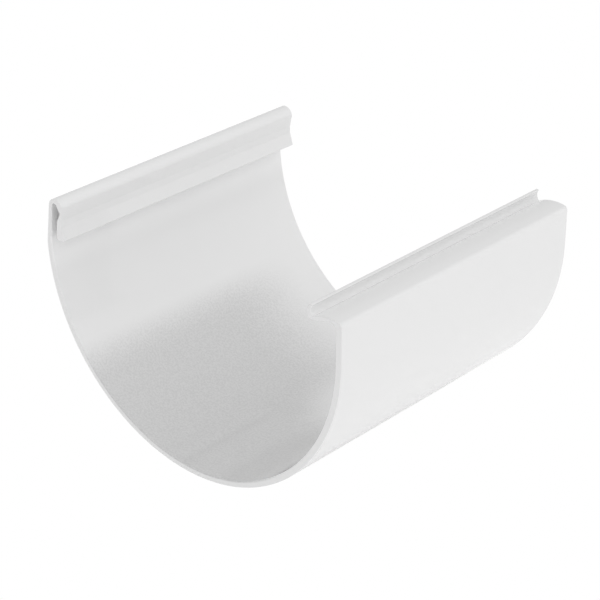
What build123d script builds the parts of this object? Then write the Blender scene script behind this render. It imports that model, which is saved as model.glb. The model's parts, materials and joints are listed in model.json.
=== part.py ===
"""Half-round gutter coupling: one PVC-U moulding that pushes up over two gutter ends.

The gutter runs along Y. The hook rim is on the -X side and the lip rim on the +X side.
The origin is on the axis of the half round, midway between the two cut ends, and Z is up.
The moulding is written as five zones that meet face to face.
"""

from build123d import *
import math
import os

os.makedirs("parts", exist_ok=True)

# Trough: it seats on the outside of a 125 mm half-round gutter.
gutter_outer_radius = 62.5
seat_clearance = 0.2
trough_thickness = 2.3
coupling_length = 110.0

# Hook rim: it snaps down over the gutter's plain back rim.
gutter_rim_thickness = 2.0
rim_clearance = 0.4
hook_wall_thickness = 1.5
hook_wall_lean = 7.5
hook_wall_foot = -3.0
crown_base_height = 11.0
leg_top_thickness = 2.5
leg_reach = 11.6
groove_drop = 1.9
groove_depth = 1.3
groove_length = 3.2
leg_inset = 0.4
foot_inset = 0.9
waist_drop = 4.5
waist_length = 2.3
waist_depth = 1.0
toe_flare = 1.5
leg_round = 0.8
foot_round = 0.5

# Lip rim: a domed shoulder that holds the gutter's front bead down, with an upstand on its edge.
shoulder_corner_height = 13.0
shoulder_depth = 3.1
shoulder_width = 11.4
shoulder_drop = 1.17
shoulder_dome = 1.12
shoulder_thickness = 1.2
shoulder_round = 1.5
underside_slope = 16.0
haunch_width = 2.0
haunch_drop = 1.2
lip_height = 3.8
lip_thickness = 1.3
lip_bow = 0.8
lip_round = 0.4

# Radii and stations that follow from the sizes above.
seat_radius = gutter_outer_radius + seat_clearance
outer_radius = seat_radius + trough_thickness
channel_width = gutter_rim_thickness + rim_clearance
lean_slope = math.tan(math.radians(hook_wall_lean))
shoulder_base_height = shoulder_corner_height - shoulder_depth
shoulder_edge = outer_radius - shoulder_width
shoulder_root_height = shoulder_corner_height - shoulder_drop

# The hook-side wall leaves the half round at its foot and leans in up to the crown.
wall_foot_x = -math.sqrt(outer_radius**2 - hook_wall_foot**2)
wall_face_x = wall_foot_x + (crown_base_height - hook_wall_foot) * lean_slope
channel_face_x = wall_face_x + hook_wall_thickness
leg_channel_x = channel_face_x + channel_width
leg_trough_x = leg_channel_x + leg_top_thickness


def shoulder_under_z(x):
    """Height of the shoulder's sloping underside at x."""
    rise = (x - shoulder_edge) * math.tan(math.radians(underside_slope))
    return shoulder_root_height - shoulder_thickness + rise


def closed_outline(*edges):
    """A face in X and Z from edges that close a loop."""
    return make_face(Curve() + list(edges))


def draw_out(outline):
    """The solid that this X and Z outline makes along the whole length of the coupling."""
    return extrude(Plane.XZ * outline, amount=coupling_length / 2, both=True)


def make_trough_wall():
    """The half round, with its wall carried up to the foot of each rim."""
    foot_turn = math.degrees(math.asin(-hook_wall_foot / outer_radius))
    seat_turn = math.degrees(math.asin(-hook_wall_foot / seat_radius))
    outside = CenterArc((0, 0), outer_radius, 180 + foot_turn, 180 - foot_turn)
    inside = CenterArc((0, 0), seat_radius, 180 + seat_turn, 180 - seat_turn)
    lip_side = Polyline(
        outside @ 1,
        (outer_radius, shoulder_base_height),
        (seat_radius, shoulder_base_height),
        inside @ 1,
    )
    hook_side = Polyline(
        inside @ 0,
        (channel_face_x, crown_base_height),
        (wall_face_x, crown_base_height),
        outside @ 0,
    )
    return draw_out(closed_outline(outside, lip_side, inside, hook_side))


def make_hook_crown():
    """The turn over the top of the hook, which leaves the leaning wall in line with it."""
    lean = (lean_slope, 1)
    outside = TangentArc((wall_face_x, crown_base_height), (leg_trough_x, crown_base_height), tangent=lean)
    inside = TangentArc((channel_face_x, crown_base_height), (leg_channel_x, crown_base_height), tangent=lean)
    leg_joint = Line(outside @ 1, inside @ 1)
    wall_joint = Line(inside @ 0, outside @ 0)
    return draw_out(closed_outline(outside, leg_joint, inside, wall_joint))


def make_hook_leg():
    """The sprung leg: grooved inside near the top, waisted, with a toe that flares at its foot."""
    groove_height = crown_base_height - groove_drop
    groove_foot = groove_height - groove_length
    waist_top = crown_base_height - waist_drop
    waist_foot = waist_top - waist_length
    foot_height = crown_base_height - leg_reach
    waist_x = leg_trough_x - waist_depth
    outline = make_face(
        Polyline(
            (leg_channel_x, crown_base_height),
            (leg_channel_x + groove_depth, groove_height),
            (leg_channel_x - leg_inset, groove_foot),
            (leg_channel_x - foot_inset, foot_height),
            (waist_x + toe_flare, foot_height),
            (waist_x, waist_foot),
            (waist_x, waist_top),
            (leg_trough_x, crown_base_height),
            close=True,
        )
    )
    bends = outline.vertices().filter_by_position(Axis.Y, waist_foot, groove_height)
    outline = fillet(bends, leg_round)
    foot = outline.vertices().group_by(Axis.Y)[0]
    return draw_out(fillet(foot, foot_round))


def make_lip_shoulder():
    """The rounded corner above the front wall and the domed shoulder that falls in from it."""
    haunch_x = seat_radius - haunch_width
    wall = Line((outer_radius, shoulder_base_height), (outer_radius, shoulder_corner_height))
    corner = Vector(outer_radius, shoulder_corner_height)
    root = Vector(shoulder_edge, shoulder_root_height)
    across = (corner - root).normalized()
    crest = (corner + root) / 2 + Vector(-across.Y, across.X) * shoulder_dome
    dome = ThreePointArc(corner, crest, root)
    inside = Polyline(
        root,
        (shoulder_edge, shoulder_under_z(shoulder_edge)),
        (haunch_x, shoulder_under_z(haunch_x)),
        (seat_radius, shoulder_under_z(haunch_x) - haunch_drop),
        (seat_radius, shoulder_base_height),
        wall @ 0,
    )
    outline = closed_outline(wall, dome, inside)
    bend = outline.vertices().group_by(Axis.Y)[-1]
    return draw_out(fillet(bend, shoulder_round))


def make_lip_upstand():
    """The thin upstand on the shoulder's inner edge, bowed towards the trough."""
    top = shoulder_root_height
    under = shoulder_under_z(shoulder_edge)
    tip = top + lip_height
    inner_edge = shoulder_edge - lip_thickness
    joint = Line((shoulder_edge, top), (shoulder_edge, under))
    root = Line(joint @ 1, (inner_edge, under))
    trough_face = ThreePointArc(root @ 1, (inner_edge - lip_bow, (under + tip) / 2), (inner_edge, tip))
    edge = Line(trough_face @ 1, (shoulder_edge, tip))
    shoulder_face = ThreePointArc(edge @ 1, (shoulder_edge - lip_bow, (top + tip) / 2), joint @ 0)
    outline = closed_outline(joint, root, trough_face, edge, shoulder_face)
    corners = outline.vertices().filter_by_position(Axis.X, inner_edge, inner_edge)
    corners += outline.vertices().group_by(Axis.Y)[-1].sort_by(Axis.X)[-1:]
    return draw_out(fillet(corners, lip_round))


zones = {
    "trough_wall": make_trough_wall(),
    "hook_crown": make_hook_crown(),
    "hook_leg": make_hook_leg(),
    "lip_shoulder": make_lip_shoulder(),
    "lip_upstand": make_lip_upstand(),
}

for name, solid in zones.items():
    export_step(solid, f"parts/{name}.step")
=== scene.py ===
"""Half-round gutter coupling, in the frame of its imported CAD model.

The coupling is one white PVC-U moulding: a half-round trough, a hook along its back rim and a
shoulder with a small lip along its front rim. Its section is traced point by point at the near
cut end, filled, drawn out to the far cut end and broken at its edges, as a maker would by hand.
The gutter runs along Y, the hook is on the -X side and Z is up. All sizes are in metres.
"""

import json
import math

import bmesh
import bpy
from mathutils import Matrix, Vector


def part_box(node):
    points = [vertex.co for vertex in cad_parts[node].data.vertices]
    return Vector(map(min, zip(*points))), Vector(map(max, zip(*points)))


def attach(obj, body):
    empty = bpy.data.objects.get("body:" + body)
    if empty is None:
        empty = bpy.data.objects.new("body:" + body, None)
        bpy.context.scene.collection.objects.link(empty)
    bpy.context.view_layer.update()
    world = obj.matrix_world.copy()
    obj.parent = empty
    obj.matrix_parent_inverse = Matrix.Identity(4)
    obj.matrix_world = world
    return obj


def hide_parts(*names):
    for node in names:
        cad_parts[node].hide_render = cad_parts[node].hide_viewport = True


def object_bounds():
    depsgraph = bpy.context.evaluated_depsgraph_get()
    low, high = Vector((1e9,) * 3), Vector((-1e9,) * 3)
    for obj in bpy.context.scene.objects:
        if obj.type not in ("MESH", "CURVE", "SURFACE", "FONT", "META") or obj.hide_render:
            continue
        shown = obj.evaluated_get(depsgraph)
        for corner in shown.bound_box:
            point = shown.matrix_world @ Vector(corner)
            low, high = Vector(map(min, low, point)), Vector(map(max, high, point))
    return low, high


bl_info = {
    "name": "Half-round Gutter Coupling",
    "version": (1, 0, 0),
    "blender": (4, 5, 0),
    "location": "3D View > Sidebar > Coupling",
    "description": "Models a snap-over half-round gutter coupling and its studio",
    "category": "Add Mesh",
}

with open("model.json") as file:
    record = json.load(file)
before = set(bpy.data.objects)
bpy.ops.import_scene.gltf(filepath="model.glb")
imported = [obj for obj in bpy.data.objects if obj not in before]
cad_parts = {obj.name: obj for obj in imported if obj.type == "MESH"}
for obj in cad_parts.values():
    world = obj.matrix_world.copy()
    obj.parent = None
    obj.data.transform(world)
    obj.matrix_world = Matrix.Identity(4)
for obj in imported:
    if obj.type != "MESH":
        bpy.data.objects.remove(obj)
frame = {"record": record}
cad_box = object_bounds()
seat_mount = next(m for m in frame["record"]["mounts"] if m["name"] == "gutter_seat")
trough_low, trough_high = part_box("trough_wall")
leg_low, leg_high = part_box("hook_leg")
lip_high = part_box("lip_upstand")[1]

# Points of the outline that are closer than this are one point, in metres.
MERGE = 1e-6


# Sizes and finishes that a user may change.


def length_property(name, description, default):
    """A length in metres, shown with enough digits for a thin moulding."""
    return bpy.props.FloatProperty(
        name=name,
        description=description,
        default=default,
        min=0.0,
        precision=5,
        unit="LENGTH",
        subtype="DISTANCE",
    )


def height_property(name, description, default):
    """A height or station in metres that may be below or beside the axis."""
    return bpy.props.FloatProperty(
        name=name,
        description=description,
        default=default,
        precision=5,
        unit="LENGTH",
        subtype="DISTANCE",
    )


def angle_property(name, description, degrees):
    """An angle, held in radians and shown in degrees."""
    return bpy.props.FloatProperty(
        name=name,
        description=description,
        default=math.radians(degrees),
        unit="ROTATION",
        subtype="ANGLE",
    )


def colour_property(name, description, default):
    """A colour as linear red, green and blue."""
    return bpy.props.FloatVectorProperty(
        name=name,
        description=description,
        default=default,
        size=3,
        min=0.0,
        max=1.0,
        subtype="COLOR",
    )


def share_property(name, description, default):
    """A share from 0 to 1."""
    return bpy.props.FloatProperty(
        name=name, description=description, default=default, min=0.0, max=1.0, subtype="FACTOR"
    )


def hex_colour(code):
    """Linear red, green and blue of an sRGB hex code."""
    levels = [int(code[i : i + 2], 16) / 255 for i in (0, 2, 4)]
    return tuple(c / 12.92 if c <= 0.04045 else ((c + 0.055) / 1.055) ** 2.4 for c in levels)


class CouplingSizes(bpy.types.PropertyGroup):
    """Sizes of the moulding's section and its length."""

    outer_radius: length_property("Outer radius", "Outside of the half round", trough_high.x)
    seat_radius: length_property(
        "Seat radius", "Inside, where the gutter sits", seat_mount["dims"]["r_mm"] / 1000
    )
    near_end: height_property("Near end", "Station of the near cut end", trough_low.y)
    far_end: height_property("Far end", "Station of the far cut end", trough_high.y)
    edge_break: length_property("Edge break", "Rounding of the cut ends' edges", 0.00032)

    crown_base: height_property("Crown base", "Height at which the hook turns over", leg_high.z)
    leg_foot: height_property("Leg foot", "Height of the sprung leg's toe", leg_low.z)
    wall_lean: angle_property("Wall lean", "Lean of the hook-side wall towards the trough", 7.5)
    wall_foot: height_property(
        "Wall foot", "Height at which the hook-side wall leaves the half round", -0.003
    )
    wall_thickness: length_property("Hook wall", "Thickness of the wall behind the hook", 0.0015)
    channel_width: length_property("Channel width", "Room for the gutter's back rim", 0.0024)
    leg_thickness: length_property("Leg thickness", "Thickness of the leg under the crown", 0.0025)
    groove_depth: length_property("Groove depth", "Depth of the groove inside the leg", 0.0013)
    waist_depth: length_property("Waist depth", "How far the leg is waisted", 0.001)
    toe_flare: length_property("Toe flare", "How far the toe flares out again", 0.0015)

    shoulder_corner: height_property(
        "Shoulder corner", "Height of the corner above the front wall", 0.013
    )
    shoulder_width: length_property("Shoulder width", "Width of the domed shoulder", 0.0114)
    shoulder_drop: length_property(
        "Shoulder drop", "How far the shoulder's root is below its corner", 0.00117
    )
    shoulder_dome: length_property("Shoulder dome", "How far the shoulder is domed", 0.00112)
    shoulder_thickness: length_property(
        "Shoulder thickness", "Thickness of the shoulder at its root", 0.0012
    )
    shoulder_round: length_property(
        "Shoulder round", "Radius of the corner above the front wall", 0.0015
    )
    underside_slope: angle_property(
        "Underside slope", "Slope of the shoulder's underside into the trough", 16.0
    )
    lip_top: height_property("Lip top", "Height of the upstand", lip_high.z)
    lip_thickness: length_property("Lip thickness", "Thickness of the upstand", 0.0013)
    lip_bow: length_property("Lip bow", "How far the upstand bows into the trough", 0.0008)


class CouplingFinish(bpy.types.PropertyGroup):
    """Colour and surface of the PVC-U and of the floor."""

    pvc_colour: colour_property("PVC-U", "White of the moulding", hex_colour("F4F4F4"))
    # Painted light: the wall just under the hook is a shade whiter, against the hook's own shadow.
    painted_light_colour: colour_property(
        "Painted light under hook", "White of the wall just under the hook", hex_colour("FDFDFD")
    )
    # The seat's colour is partly a greyer surface and partly painted shade.
    seat_tone_and_shade_colour: colour_property("Seat", "Shade of the bottom of the trough", hex_colour("DFDFDF"))
    grain_colour: colour_property(
        "Grain", "Specks in the bottom of the trough", hex_colour("D5D5D5")
    )
    roughness: share_property("Roughness", "Roughness of the drawn surface", 0.035)
    floor_colour: colour_property("Floor", "Pale studio floor", hex_colour("FAFAFA"))


class CouplingStudio(bpy.types.PropertyGroup):
    """Where the camera stands."""

    azimuth: angle_property("Azimuth", "Turn of the camera round the coupling", 42.74)
    elevation: angle_property("Elevation", "Height of the camera above the horizon", 27.65)
    distance: length_property("Distance", "From the camera to the point it looks at", 0.646)
    aim_right: height_property("Aim right", "Aim to the right of the coupling's axis", -0.00154)
    aim_up: height_property("Aim up", "Aim above the coupling's axis", -0.0203)
    lens: bpy.props.FloatProperty(
        name="Lens",
        description="Focal length for a 36 mm sensor",
        default=118.2,
        min=1.0,
        unit="CAMERA",
    )


# Tracing the section: a point is pulled along straight edges and swung round arcs.

# Small sizes of the section that stay as they are, in metres.
HAUNCH_WIDTH = 0.002
HAUNCH_DROP = 0.0012
HAUNCH_ROUND = 0.001
UNDERSIDE_ROUND = 0.0008
LIP_TIP_ROUND = 0.0003
LIP_FOOT_ROUND = 0.0004
GROOVE_DROP = 0.0019
GROOVE_LENGTH = 0.0032
LEG_INSET = 0.0004
TOE_INSET = 0.0009
WAIST_DROP = 0.0045
WAIST_LENGTH = 0.0023
LEG_ROUND = 0.0008
TOE_ROUND = 0.0005

# How much of each bowed face of the lip is swung before its rounded corners begin.
LIP_FRONT_SHARE = 0.76
LIP_BACK_SHARE = 0.8

# Steps of each arc. A small rounded corner has a step for each so many degrees, and at least some.
CIRCLE_STEPS = 360
SEAT_STEPS = 178
CROWN_STEPS = 22
CORNER_STEPS = 8
DOME_STEPS = 14
LIP_STEPS = 10
DEGREES_PER_STEP = 9
FEWEST_STEPS = 3

# Segments round the broken edges, and the angle past which an edge stays sharp, in degrees.
EDGE_SEGMENTS = 3
SHARP_ANGLE = 50


def select_points(mesh, wanted):
    """Selects the points for which wanted(place) is true, and nothing else."""
    bpy.ops.mesh.select_all(action="DESELECT")
    shape = bmesh.from_edit_mesh(mesh)
    for point in shape.verts:
        point.select_set(wanted(point.co))
    shape.select_flush_mode()
    bmesh.update_edit_mesh(mesh)


def pen_place(mesh):
    """Where the traced outline ends now, as X and Z."""
    place = next(point.co for point in bmesh.from_edit_mesh(mesh).verts if point.select)
    return Vector((place.x, place.z))


def pull_to(mesh, place):
    """Pulls a straight edge from the end of the outline."""
    step = Vector(place) - pen_place(mesh)
    bpy.ops.mesh.extrude_region_move(TRANSFORM_OT_translate={"value": (step.x, 0.0, step.y)})


def swing_round(mesh, centre, turn, steps):
    """Swings the end of the outline round a centre. A positive turn goes from +X towards +Z."""
    station = next(point.co.y for point in bmesh.from_edit_mesh(mesh).verts if point.select)
    bpy.ops.mesh.spin(
        steps=steps, angle=turn, center=(centre[0], station, centre[1]), axis=(0, 1, 0)
    )


def trace_corners(mesh, corners):
    """Traces straight edges through corners of (X, Z, radius), rounding each but the last."""
    for (x, z, radius), after in zip(corners, corners[1:]):
        corner = Vector((x, z))
        back = (pen_place(mesh) - corner).normalized()
        ahead = (Vector(after[:2]) - corner).normalized()
        half = back.angle(ahead) / 2
        if radius == 0:
            pull_to(mesh, corner)
            continue
        pull_to(mesh, corner + back * radius / math.tan(half))
        turn = math.copysign(math.pi - 2 * half, ahead.cross(back))
        steps = max(FEWEST_STEPS, round(abs(math.degrees(turn)) / DEGREES_PER_STEP))
        centre = corner + (back + ahead).normalized() * radius / math.sin(half)
        swing_round(mesh, centre, turn, steps)
    pull_to(mesh, corners[-1][:2])


def bowed_arc(foot, tip, bow):
    """Centre and radius of the arc between two points one above the other that bows to -X."""
    half = (tip[1] - foot[1]) / 2
    radius = (half**2 + bow**2) / (2 * bow)
    return Vector((foot[0] - bow + radius, (foot[1] + tip[1]) / 2)), radius


def trace_front_rim(mesh, s):
    """Front wall, rounded corner, domed shoulder, lip and the underside back to the seat."""
    edge = s.outer_radius - s.shoulder_width
    inner = edge - s.lip_thickness
    haunch = s.seat_radius - HAUNCH_WIDTH
    corner = Vector((s.outer_radius, s.shoulder_corner))
    root = Vector((edge, s.shoulder_corner - s.shoulder_drop))
    under = root.y - s.shoulder_thickness
    haunch_under = under + (haunch - edge) * math.tan(s.underside_slope)

    # The dome is one arc from the corner to the root, and the corner's arc is tangent to it.
    half = (corner - root).length / 2
    reach = (half**2 + s.shoulder_dome**2) / (2 * s.shoulder_dome)
    across = (corner - root).normalized()
    dome = (corner + root) / 2 + Vector((-across.y, across.x)) * (s.shoulder_dome - reach)
    bend_x = corner.x - s.shoulder_round
    bend_rise = math.sqrt((reach - s.shoulder_round) ** 2 - (bend_x - dome.x) ** 2)
    bend = Vector((bend_x, dome.y + bend_rise))
    pull_to(mesh, (corner.x, bend.y))
    rise = math.atan2(bend.y - dome.y, bend.x - dome.x)
    swing_round(mesh, bend, rise, CORNER_STEPS)
    swing_round(mesh, dome, math.atan2(root.y - dome.y, root.x - dome.x) - rise, DOME_STEPS)

    centre, radius = bowed_arc(root, (edge, s.lip_top), s.lip_bow)
    sweep = 2 * math.asin((s.lip_top - root.y) / 2 / radius) * LIP_FRONT_SHARE
    swing_round(mesh, centre, -sweep, LIP_STEPS)
    centre, radius = bowed_arc((inner, under), (inner, s.lip_top), s.lip_bow)
    sweep = math.asin((s.lip_top - under) / 2 / radius) * LIP_BACK_SHARE
    start = centre + radius * Vector((-math.cos(sweep), math.sin(sweep)))
    trace_corners(
        mesh,
        [(edge, s.lip_top, LIP_TIP_ROUND), (inner, s.lip_top, LIP_TIP_ROUND), (*start, 0)],
    )
    swing_round(mesh, centre, 2 * sweep, LIP_STEPS)
    trace_corners(
        mesh,
        [
            (inner, under, LIP_FOOT_ROUND),
            (edge, under, UNDERSIDE_ROUND),
            (haunch, haunch_under, HAUNCH_ROUND),
            (s.seat_radius, haunch_under - HAUNCH_DROP, HAUNCH_ROUND),
            (s.seat_radius, 0, 0),
        ],
    )


def trace_back_rim(mesh, s):
    """Channel face, the crown's inside, the leg, the crown's outside and the leaning wall."""
    lean = math.tan(s.wall_lean)
    foot_x = -math.sqrt(s.outer_radius**2 - s.wall_foot**2)
    wall = foot_x + (s.crown_base - s.wall_foot) * lean
    channel = wall + s.wall_thickness
    leg = channel + s.channel_width
    trough = leg + s.leg_thickness
    waist = trough - s.waist_depth
    groove_height = s.crown_base - GROOVE_DROP
    waist_top = s.crown_base - WAIST_DROP

    def over_crown(left, right, turn):
        radius = (right - left) / 2 / math.cos(s.wall_lean)
        centre = ((left + right) / 2, s.crown_base - radius * math.sin(s.wall_lean))
        swing_round(mesh, centre, turn * (math.pi - 2 * s.wall_lean), CROWN_STEPS)

    pull_to(mesh, (channel, s.crown_base))
    over_crown(channel, leg, -1)
    trace_corners(
        mesh,
        [
            (leg + s.groove_depth, groove_height, LEG_ROUND),
            (leg - LEG_INSET, groove_height - GROOVE_LENGTH, LEG_ROUND),
            (leg - TOE_INSET, s.leg_foot, TOE_ROUND),
            (waist + s.toe_flare, s.leg_foot, TOE_ROUND),
            (waist, waist_top - WAIST_LENGTH, LEG_ROUND),
            (waist, waist_top, LEG_ROUND),
            (trough, s.crown_base, 0),
        ],
    )
    over_crown(wall, trough, 1)
    pull_to(mesh, (foot_x, s.wall_foot))


def model_moulding(s):
    """The whole moulding as one closed mesh."""
    bpy.ops.object.select_all(action="DESELECT")
    bpy.ops.mesh.primitive_circle_add(
        vertices=CIRCLE_STEPS,
        radius=s.outer_radius,
        fill_type="NOTHING",
        location=(0, s.near_end, 0),
        rotation=(math.pi / 2, 0, 0),
    )
    piece = bpy.context.object
    piece.name = piece.data.name = "coupling_moulding"
    mesh = piece.data
    bpy.ops.object.transform_apply(location=True, rotation=True, scale=True)
    bpy.ops.object.mode_set(mode="EDIT")
    bpy.ops.mesh.select_mode(type="VERT")

    # The lower half of the circle is the outside of the trough.
    select_points(mesh, lambda p: p.z > MERGE or (p.x < 0 and p.z > s.wall_foot - MERGE))
    bpy.ops.mesh.delete(type="VERT")
    select_points(mesh, lambda p: p.x > s.outer_radius - MERGE)
    trace_front_rim(mesh, s)
    seat_foot = math.asin(-s.wall_foot / s.seat_radius)
    swing_round(mesh, (0, 0), -(math.pi - seat_foot), SEAT_STEPS)
    trace_back_rim(mesh, s)
    last = pen_place(mesh)
    points = bmesh.from_edit_mesh(mesh).verts
    loose_ends = [p.co for p in points if len(p.link_edges) == 1 and not p.select]
    first = min(loose_ends, key=lambda p: p.x)
    pull_to(mesh, (first.x, first.z))
    bpy.ops.mesh.select_all(action="SELECT")
    bpy.ops.mesh.remove_doubles(threshold=MERGE)
    if any(len(p.link_edges) != 2 for p in bmesh.from_edit_mesh(mesh).verts):
        raise RuntimeError(f"the section's outline doesn't close: it ends at {last}")

    # Fill the section, draw it out to the far end and break the edges of both cut ends.
    bpy.ops.mesh.edge_face_add()
    length = s.far_end - s.near_end
    bpy.ops.mesh.extrude_region_move(TRANSFORM_OT_translate={"value": (0, length, 0)})
    bpy.ops.mesh.select_all(action="SELECT")
    bpy.ops.mesh.normals_make_consistent(inside=False)
    bpy.ops.mesh.select_mode(type="EDGE")
    bpy.ops.mesh.select_all(action="DESELECT")
    shape = bmesh.from_edit_mesh(mesh)
    for edge in shape.edges:
        edge.select_set(abs(edge.verts[0].co.y - edge.verts[1].co.y) < MERGE)
    bmesh.update_edit_mesh(mesh)
    bpy.ops.mesh.bevel(offset=s.edge_break, segments=EDGE_SEGMENTS, clamp_overlap=False)
    bpy.ops.object.mode_set(mode="OBJECT")

    bpy.ops.object.shade_smooth_by_angle(angle=math.radians(SHARP_ANGLE))
    weights = piece.modifiers.new("flat_ends", "WEIGHTED_NORMAL")
    weights.keep_sharp = True
    bpy.ops.object.modifier_apply(modifier=weights.name)
    return piece


# Materials.

# Settings that several nodes share. On a Mix node that is set to colours, inputs 6 and 7 are the
# two colours and output 2 is the result.
SMOOTH = {"interpolation_type": "SMOOTHSTEP"}
MULTIPLY = {"operation": "MULTIPLY"}
ADD = {"operation": "ADD"}
COLOURS = {"data_type": "RGBA"}

PVC_IOR = 1.53

# Edges of the patches painted into the colour, in metres: none of the patch at the first
# value and all of it at the second. The seat's patch is a greyer surface, partly painted shade,
# and leaves out what is past both PAST_SKEW and PAST_LIP_SIDE. The patch on the wall just
# under the hook is painted light.
INSIDE_RADIUS = (0.0635, 0.0629)
SEAT_HEIGHT = (-0.0355, -0.0475)
SEAT_STATION = (0.048, 0.006)
SEAT_LIP_SIDE = (0.042, 0.022)
PAST_SKEW = (-0.018, 0.016)
PAST_LIP_SIDE = (-0.020, 0.012)
PAINTED_LIGHT_FOOT = (-0.015, -0.006)
PAINTED_LIGHT_WALL = (-0.050, -0.056)
PAINTED_LIGHT_TOP = (0.0, -0.001)

# Grain of the seat. Real grain would be too fine to show, so it is drawn coarser, with 1.5 specks
# to the millimetre.
GRAIN_PER_MM = 1.5
SPECK_LEVELS = (0.36, 0.66)
GRAIN_HEIGHT = 0.00004

# Die lines, drawn out along Y and about 1 mm apart, which is coarser than real ones so that they
# show. LINE_ROUGHNESS is the least and the most that they add to the roughness.
LINES_PER_MM = 0.9
LINE_STRETCH = 0.012
LINE_ROUGHNESS = (-0.01, 0.02)
LINE_HEIGHT = 0.00005
BUMP_STRENGTH = 0.03

# Paper of the floor: mottled every 11 mm, by 3 %, and how much light it gives off by itself.
PAPER_PER_METRE = 90.0
PAPER_SHADE = 0.97
PAPER_GLOW = 0.165
WHITE = (1.0, 1.0, 1.0)


def add_node(tree, kind, place, settings=None, **inputs):
    """Adds a node at a place in the editor, with its settings, values and links.

    An input is given by its name, or by its number as i0, i1 and so on. It may be a value or the
    socket that it is linked to, and a colour without alpha is opaque.
    """
    node = tree.nodes.new(kind)
    node.location = place
    for name, value in (settings or {}).items():
        setattr(node, name, value)
    for name, value in inputs.items():
        numbered = name[0] == "i" and name[1:].isdigit()
        socket = node.inputs[int(name[1:]) if numbered else name.replace("_", " ")]
        if isinstance(value, bpy.types.NodeSocket):
            tree.links.new(value, socket)
        elif socket.type == "RGBA":
            socket.default_value = (*value[:3], 1.0)
        else:
            socket.default_value = value
    return node


def add_patch(tree, place, edges):
    """How much a point is within all of the edges, which are pairs of a value and its limits."""
    x, y = place
    patch = None
    for value, (none, full) in edges:
        within = add_node(
            tree, "ShaderNodeMapRange", (x, y), SMOOTH, Value=value, From_Min=none, From_Max=full
        ).outputs[0]
        if patch is None:
            patch = within
        else:
            both = add_node(tree, "ShaderNodeMath", (x, y + 170), MULTIPLY, i0=patch, i1=within)
            patch = both.outputs[0]
        x += 180
    return patch


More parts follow.
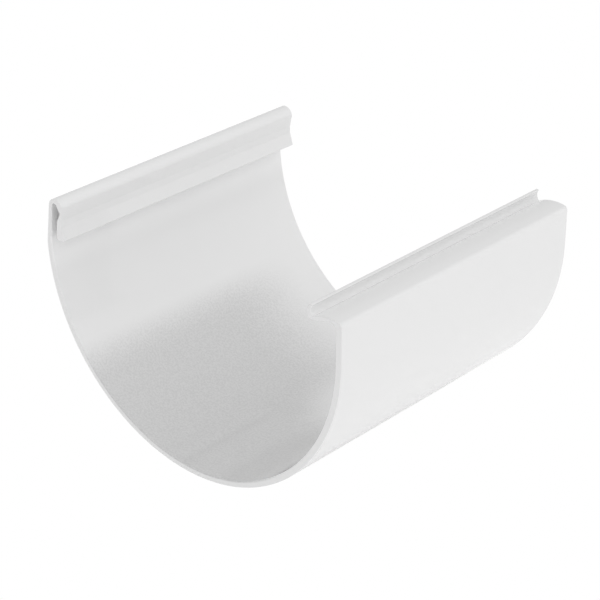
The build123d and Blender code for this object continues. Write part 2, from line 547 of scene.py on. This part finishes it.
def make_white_pvc(finish):
    """Rigid white PVC-U, drawn through a polished die.

    It shows a smooth satin gloss with faint die lines along the gutter. The seat in the bottom of
    the trough is darker and finely grained: partly a greyer surface, partly painted shade. The
    wall just under the hook has painted light, a shade whiter against the hook's own shadow.
    """
    material = bpy.data.materials.new("white_pvc_u")
    material.use_nodes = True
    tree = material.node_tree
    tree.nodes.clear()
    place = add_node(tree, "ShaderNodeTexCoord", (-2300, 0)).outputs["Object"]
    x, y, z = add_node(tree, "ShaderNodeSeparateXYZ", (-2100, 0), Vector=place).outputs

    # The square of the distance from the axis, and a skewed station along the trough.
    across = add_node(tree, "ShaderNodeMath", (-1850, 700), MULTIPLY, i0=x, i1=x).outputs[0]
    upright = add_node(tree, "ShaderNodeMath", (-1850, 900), MULTIPLY, i0=z, i1=z).outputs[0]
    reach = add_node(tree, "ShaderNodeMath", (-1600, 800), ADD, i0=across, i1=upright).outputs[0]
    half_way = add_node(tree, "ShaderNodeMath", (-1850, 300), MULTIPLY, i0=x, i1=0.5).outputs[0]
    skew = add_node(tree, "ShaderNodeMath", (-1600, 300), ADD, i0=half_way, i1=y).outputs[0]

    # The seat's darker patch, partly painted shade, fades out up the back wall, towards the far
    # end, and sooner on the lip's side.
    inside = (reach, [radius**2 for radius in INSIDE_RADIUS])
    past = add_patch(tree, (-1400, 400), [(skew, PAST_SKEW), (x, PAST_LIP_SIDE)])
    seat = add_patch(
        tree,
        (-1000, 0),
        [(z, SEAT_HEIGHT), (y, SEAT_STATION), (past, (1.0, 0.0)), (x, SEAT_LIP_SIDE), inside],
    )
    # The wall just under the hook is painted a shade whiter: painted light that makes up for the
    # hook's own shadow there.
    painted_light_mask = add_patch(
        tree, (-1000, 900), [(z, PAINTED_LIGHT_FOOT), (x, PAINTED_LIGHT_WALL), inside, (z, PAINTED_LIGHT_TOP)]
    )

    grain = add_node(
        tree,
        "ShaderNodeTexNoise",
        (-1000, -400),
        Vector=place,
        Scale=1000.0 * GRAIN_PER_MM,
        Detail=3.0,
        Roughness=0.6,
    ).outputs["Fac"]
    specks = add_patch(tree, (-650, -400), [(grain, SPECK_LEVELS)])
    speckled = add_node(tree, "ShaderNodeMath", (-400, -400), MULTIPLY, i0=specks, i1=seat)
    # The painted light on the wall under the hook is mixed into the PVC-U's white here.
    pvc_with_painted_light = add_node(
        tree,
        "ShaderNodeMix",
        (0, 600),
        COLOURS,
        i0=painted_light_mask,
        i6=finish.pvc_colour,
        i7=finish.painted_light_colour,
    )
    # The seat's darker tone, partly painted shade, is mixed in here.
    seat_toned_and_shaded = add_node(
        tree,
        "ShaderNodeMix",
        (200, 400),
        COLOURS,
        i0=seat,
        i6=pvc_with_painted_light.outputs[2],
        i7=finish.seat_tone_and_shade_colour,
    )
    colour = add_node(
        tree,
        "ShaderNodeMix",
        (400, 200),
        COLOURS,
        i0=speckled.outputs[0],
        i6=seat_toned_and_shaded.outputs[2],
        i7=finish.grain_colour,
    )

    stretched = add_node(
        tree, "ShaderNodeMapping", (-1000, -800), Vector=place, Scale=(1.0, LINE_STRETCH, 1.0)
    )
    lines = add_node(
        tree,
        "ShaderNodeTexNoise",
        (-650, -800),
        Vector=stretched.outputs[0],
        Scale=1000.0 * LINES_PER_MM,
        Detail=2.0,
    ).outputs["Fac"]
    gloss = add_node(
        tree,
        "ShaderNodeMapRange",
        (400, -200),
        Value=lines,
        To_Min=finish.roughness + LINE_ROUGHNESS[0],
        To_Max=finish.roughness + LINE_ROUGHNESS[1],
    )
    ridges = add_node(
        tree,
        "ShaderNodeBump",
        (200, -600),
        Strength=BUMP_STRENGTH,
        Distance=LINE_HEIGHT,
        Height=lines,
    )
    skin = add_node(
        tree,
        "ShaderNodeBump",
        (400, -600),
        Strength=BUMP_STRENGTH,
        Distance=GRAIN_HEIGHT,
        Height=grain,
        Normal=ridges.outputs[0],
    )
    shader = add_node(
        tree,
        "ShaderNodeBsdfPrincipled",
        (700, 0),
        Base_Color=colour.outputs[2],
        Roughness=gloss.outputs[0],
        IOR=PVC_IOR,
        Normal=skin.outputs[0],
    )
    add_node(tree, "ShaderNodeOutputMaterial", (1050, 0), Surface=shader.outputs["BSDF"])
    return material


def make_studio_floor(finish):
    """Pale paper that shows evenly white to the camera and throws a little light back up."""
    material = bpy.data.materials.new("studio_floor")
    material.use_nodes = True
    tree = material.node_tree
    tree.nodes.clear()
    place = add_node(tree, "ShaderNodeTexCoord", (-900, 0)).outputs["Object"]
    paper = add_node(
        tree, "ShaderNodeTexNoise", (-650, 0), Vector=place, Scale=PAPER_PER_METRE, Detail=4.0
    )
    tint = add_node(
        tree,
        "ShaderNodeMix",
        (-400, 0),
        COLOURS,
        i0=paper.outputs["Fac"],
        i6=finish.floor_colour,
        i7=[PAPER_SHADE * level for level in finish.floor_colour],
    )
    matt = add_node(tree, "ShaderNodeBsdfDiffuse", (-100, 0), Color=tint.outputs[2])
    glow = add_node(tree, "ShaderNodeEmission", (-100, -150), Color=WHITE, Strength=PAPER_GLOW)
    lit = add_node(
        tree, "ShaderNodeAddShader", (150, 0), i0=matt.outputs[0], i1=glow.outputs[0]
    ).outputs[0]
    white = add_node(
        tree, "ShaderNodeEmission", (150, -150), Color=WHITE, Strength=1.0
    ).outputs[0]
    seen = add_node(tree, "ShaderNodeLightPath", (150, 300)).outputs["Is Camera Ray"]
    shown = add_node(tree, "ShaderNodeMixShader", (400, 0), Fac=seen, i1=lit, i2=white)
    add_node(tree, "ShaderNodeOutputMaterial", (650, 0), Surface=shown.outputs[0])
    return material


# The studio.

FLOOR_SIZE = 12.0

# How bright the studio is at each eighth of a turn, from the -Y side round by +X.
SKY_LOW = (0.54, 0.88, 0.36, 1.14, 0.58, 0.6, 0.56, 0.54)
SKY_HIGH = (0.43, 0.77, 1.07, 1.17, 0.51, 0.6, 0.54, 0.4)
SKY_TOP = 0.99
BRIGHTEST = 4.0

# Sines of 12, 40 and 68 degrees: where the low ring, the high ring and the top are all there is.
LOW_SINE = 0.208
HIGH_SINE = 0.643
TOP_SINE = 0.927

SENSOR_WIDTH = 36.0


def direction(azimuth, elevation):
    """The way to something that stands at this azimuth and elevation, both in degrees."""
    a, e = math.radians(azimuth), math.radians(elevation)
    return Vector((math.sin(a) * math.cos(e), -math.cos(a) * math.cos(e), math.sin(e)))


def make_floor(finish):
    """A wide pale floor under the coupling."""
    bpy.ops.object.select_all(action="DESELECT")
    bpy.ops.mesh.primitive_plane_add(size=FLOOR_SIZE, location=(0, 0, cad_box[0].z))
    floor = bpy.context.object
    floor.name = floor.data.name = "studio_floor"
    bpy.ops.object.transform_apply(location=True, rotation=True, scale=True)
    floor.data.materials.append(make_studio_floor(finish))


def add_ring(tree, place, turn, levels):
    """Brightness round the studio, from its levels at each eighth of a turn."""
    ramp = add_node(tree, "ShaderNodeValToRGB", place, Fac=turn)
    stops = ramp.color_ramp.elements
    for i in range(1, len(levels)):
        stops.new(i / len(levels))
    for stop, level in zip(stops, (*levels, levels[0])):
        stop.color = (*[level / BRIGHTEST] * 3, 1.0)
    return ramp.outputs["Color"]


def make_sky():
    """White light all round: a ring of brightness low down, one higher up, and one level on top."""
    world = bpy.data.worlds.new("studio_sky")
    bpy.context.scene.world = world
    world.use_nodes = True
    tree = world.node_tree
    tree.nodes.clear()
    way = add_node(tree, "ShaderNodeTexCoord", (-1700, 0)).outputs["Generated"]
    x, y, z = add_node(tree, "ShaderNodeSeparateXYZ", (-1500, 0), Vector=way).outputs
    ahead = add_node(tree, "ShaderNodeMath", (-1300, -150), MULTIPLY, i0=y, i1=-1.0)
    angle = add_node(
        tree, "ShaderNodeMath", (-1100, 0), {"operation": "ARCTAN2"}, i0=x, i1=ahead.outputs[0]
    )
    turns = add_node(
        tree,
        "ShaderNodeMath",
        (-900, 0),
        {"operation": "DIVIDE"},
        i0=angle.outputs[0],
        i1=2 * math.pi,
    )
    turn = add_node(
        tree, "ShaderNodeMath", (-700, 0), {"operation": "FRACT"}, i0=turns.outputs[0]
    ).outputs[0]
    low_ring = add_ring(tree, (-450, -100), turn, SKY_LOW)
    high_ring = add_ring(tree, (-450, 200), turn, SKY_HIGH)
    low, top = (
        add_node(
            tree,
            "ShaderNodeMapRange",
            (-450, height),
            Value=z,
            From_Min=HIGH_SINE,
            From_Max=full,
        ).outputs[0]
        for height, full in ((-400, LOW_SINE), (-700, TOP_SINE))
    )
    rings = add_node(tree, "ShaderNodeMix", (-100, 0), COLOURS, i0=low, i6=high_ring, i7=low_ring)
    sky = add_node(
        tree,
        "ShaderNodeMix",
        (150, 0),
        COLOURS,
        i0=top,
        i6=rings.outputs[2],
        i7=[SKY_TOP / BRIGHTEST] * 3,
    )
    seen = add_node(tree, "ShaderNodeLightPath", (150, 300)).outputs["Is Camera Ray"]
    shown = add_node(
        tree,
        "ShaderNodeMix",
        (400, 0),
        COLOURS,
        i0=seen,
        i6=sky.outputs[2],
        i7=[1.0 / BRIGHTEST] * 3,
    )
    light = add_node(
        tree, "ShaderNodeBackground", (650, 0), Color=shown.outputs[2], Strength=BRIGHTEST
    )
    add_node(tree, "ShaderNodeOutputWorld", (900, 0), Surface=light.outputs[0])


def place_softbox(name, azimuth, elevation, distance, size, power):
    """A square area light that faces the coupling."""
    back = direction(azimuth, elevation)
    lamp = bpy.data.lights.new(name, "AREA")
    lamp.size = size
    lamp.energy = power
    holder = bpy.data.objects.new(name, lamp)
    holder.location = back * distance
    holder.rotation_mode = "QUATERNION"
    holder.rotation_quaternion = (-back).to_track_quat("-Z", "Y")
    bpy.context.scene.collection.objects.link(holder)


def place_camera(studio):
    """The camera, aimed a little below the coupling's axis."""
    back = direction(math.degrees(studio.azimuth), math.degrees(studio.elevation))
    right = Vector((math.cos(studio.azimuth), math.sin(studio.azimuth), 0.0))
    up = back.cross(right)
    data = bpy.data.cameras.new("studio_camera")
    data.lens = studio.lens
    data.sensor_width = SENSOR_WIDTH
    data.clip_start, data.clip_end = 0.05, 50.0
    camera = bpy.data.objects.new("studio_camera", data)
    camera.rotation_mode = "QUATERNION"
    camera.rotation_quaternion = (-back).to_track_quat("-Z", "Y")
    camera.location = right * studio.aim_right + up * studio.aim_up + back * studio.distance
    bpy.context.scene.collection.objects.link(camera)
    bpy.context.scene.camera = camera


# Operators, panel and registration.


class MESH_OT_coupling_moulding(bpy.types.Operator):
    """Model the coupling's single moulding in white PVC-U"""

    bl_idname = "mesh.coupling_moulding"
    bl_label = "Coupling Moulding"
    bl_options = {"REGISTER", "UNDO"}

    def execute(self, context):
        piece = model_moulding(context.scene.coupling_sizes)
        piece.data.materials.clear()
        piece.data.materials.append(make_white_pvc(context.scene.coupling_finish))
        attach(piece, "root")
        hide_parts("trough_wall", "hook_crown", "hook_leg", "lip_shoulder", "lip_upstand")
        return {"FINISHED"}


class SCENE_OT_coupling_studio(bpy.types.Operator):
    """Set up the floor, the soft light and the camera"""

    bl_idname = "scene.coupling_studio"
    bl_label = "Coupling Studio"
    bl_options = {"REGISTER", "UNDO"}

    def execute(self, context):
        make_floor(context.scene.coupling_finish)
        make_sky()
        place_softbox(
            "front_softbox", azimuth=48, elevation=42, distance=1.5, size=0.35, power=0.3
        )
        place_camera(context.scene.coupling_studio)
        context.scene.view_settings.view_transform = "Standard"
        return {"FINISHED"}


class VIEW3D_PT_coupling(bpy.types.Panel):
    """Sidebar panel with the coupling's sizes, finishes and steps"""

    bl_idname = "VIEW3D_PT_coupling"
    bl_label = "Gutter Coupling"
    bl_space_type = "VIEW_3D"
    bl_region_type = "UI"
    bl_category = "Coupling"

    def draw(self, context):
        scene = context.scene
        for group in (scene.coupling_sizes, scene.coupling_finish, scene.coupling_studio):
            column = self.layout.column(align=True)
            for name in group.__annotations__:
                column.prop(group, name)
        self.layout.operator(MESH_OT_coupling_moulding.bl_idname)
        self.layout.operator(SCENE_OT_coupling_studio.bl_idname)


CLASSES = (
    CouplingSizes,
    CouplingFinish,
    CouplingStudio,
    MESH_OT_coupling_moulding,
    SCENE_OT_coupling_studio,
    VIEW3D_PT_coupling,
)


def register():
    for kind in CLASSES:
        bpy.utils.register_class(kind)
    bpy.types.Scene.coupling_sizes = bpy.props.PointerProperty(type=CouplingSizes)
    bpy.types.Scene.coupling_finish = bpy.props.PointerProperty(type=CouplingFinish)
    bpy.types.Scene.coupling_studio = bpy.props.PointerProperty(type=CouplingStudio)


def unregister():
    del bpy.types.Scene.coupling_studio
    del bpy.types.Scene.coupling_finish
    del bpy.types.Scene.coupling_sizes
    for kind in reversed(CLASSES):
        bpy.utils.unregister_class(kind)


def main():
    register()
    bpy.ops.mesh.coupling_moulding()
    bpy.ops.scene.coupling_studio()


if __name__ == "__main__":
    main()
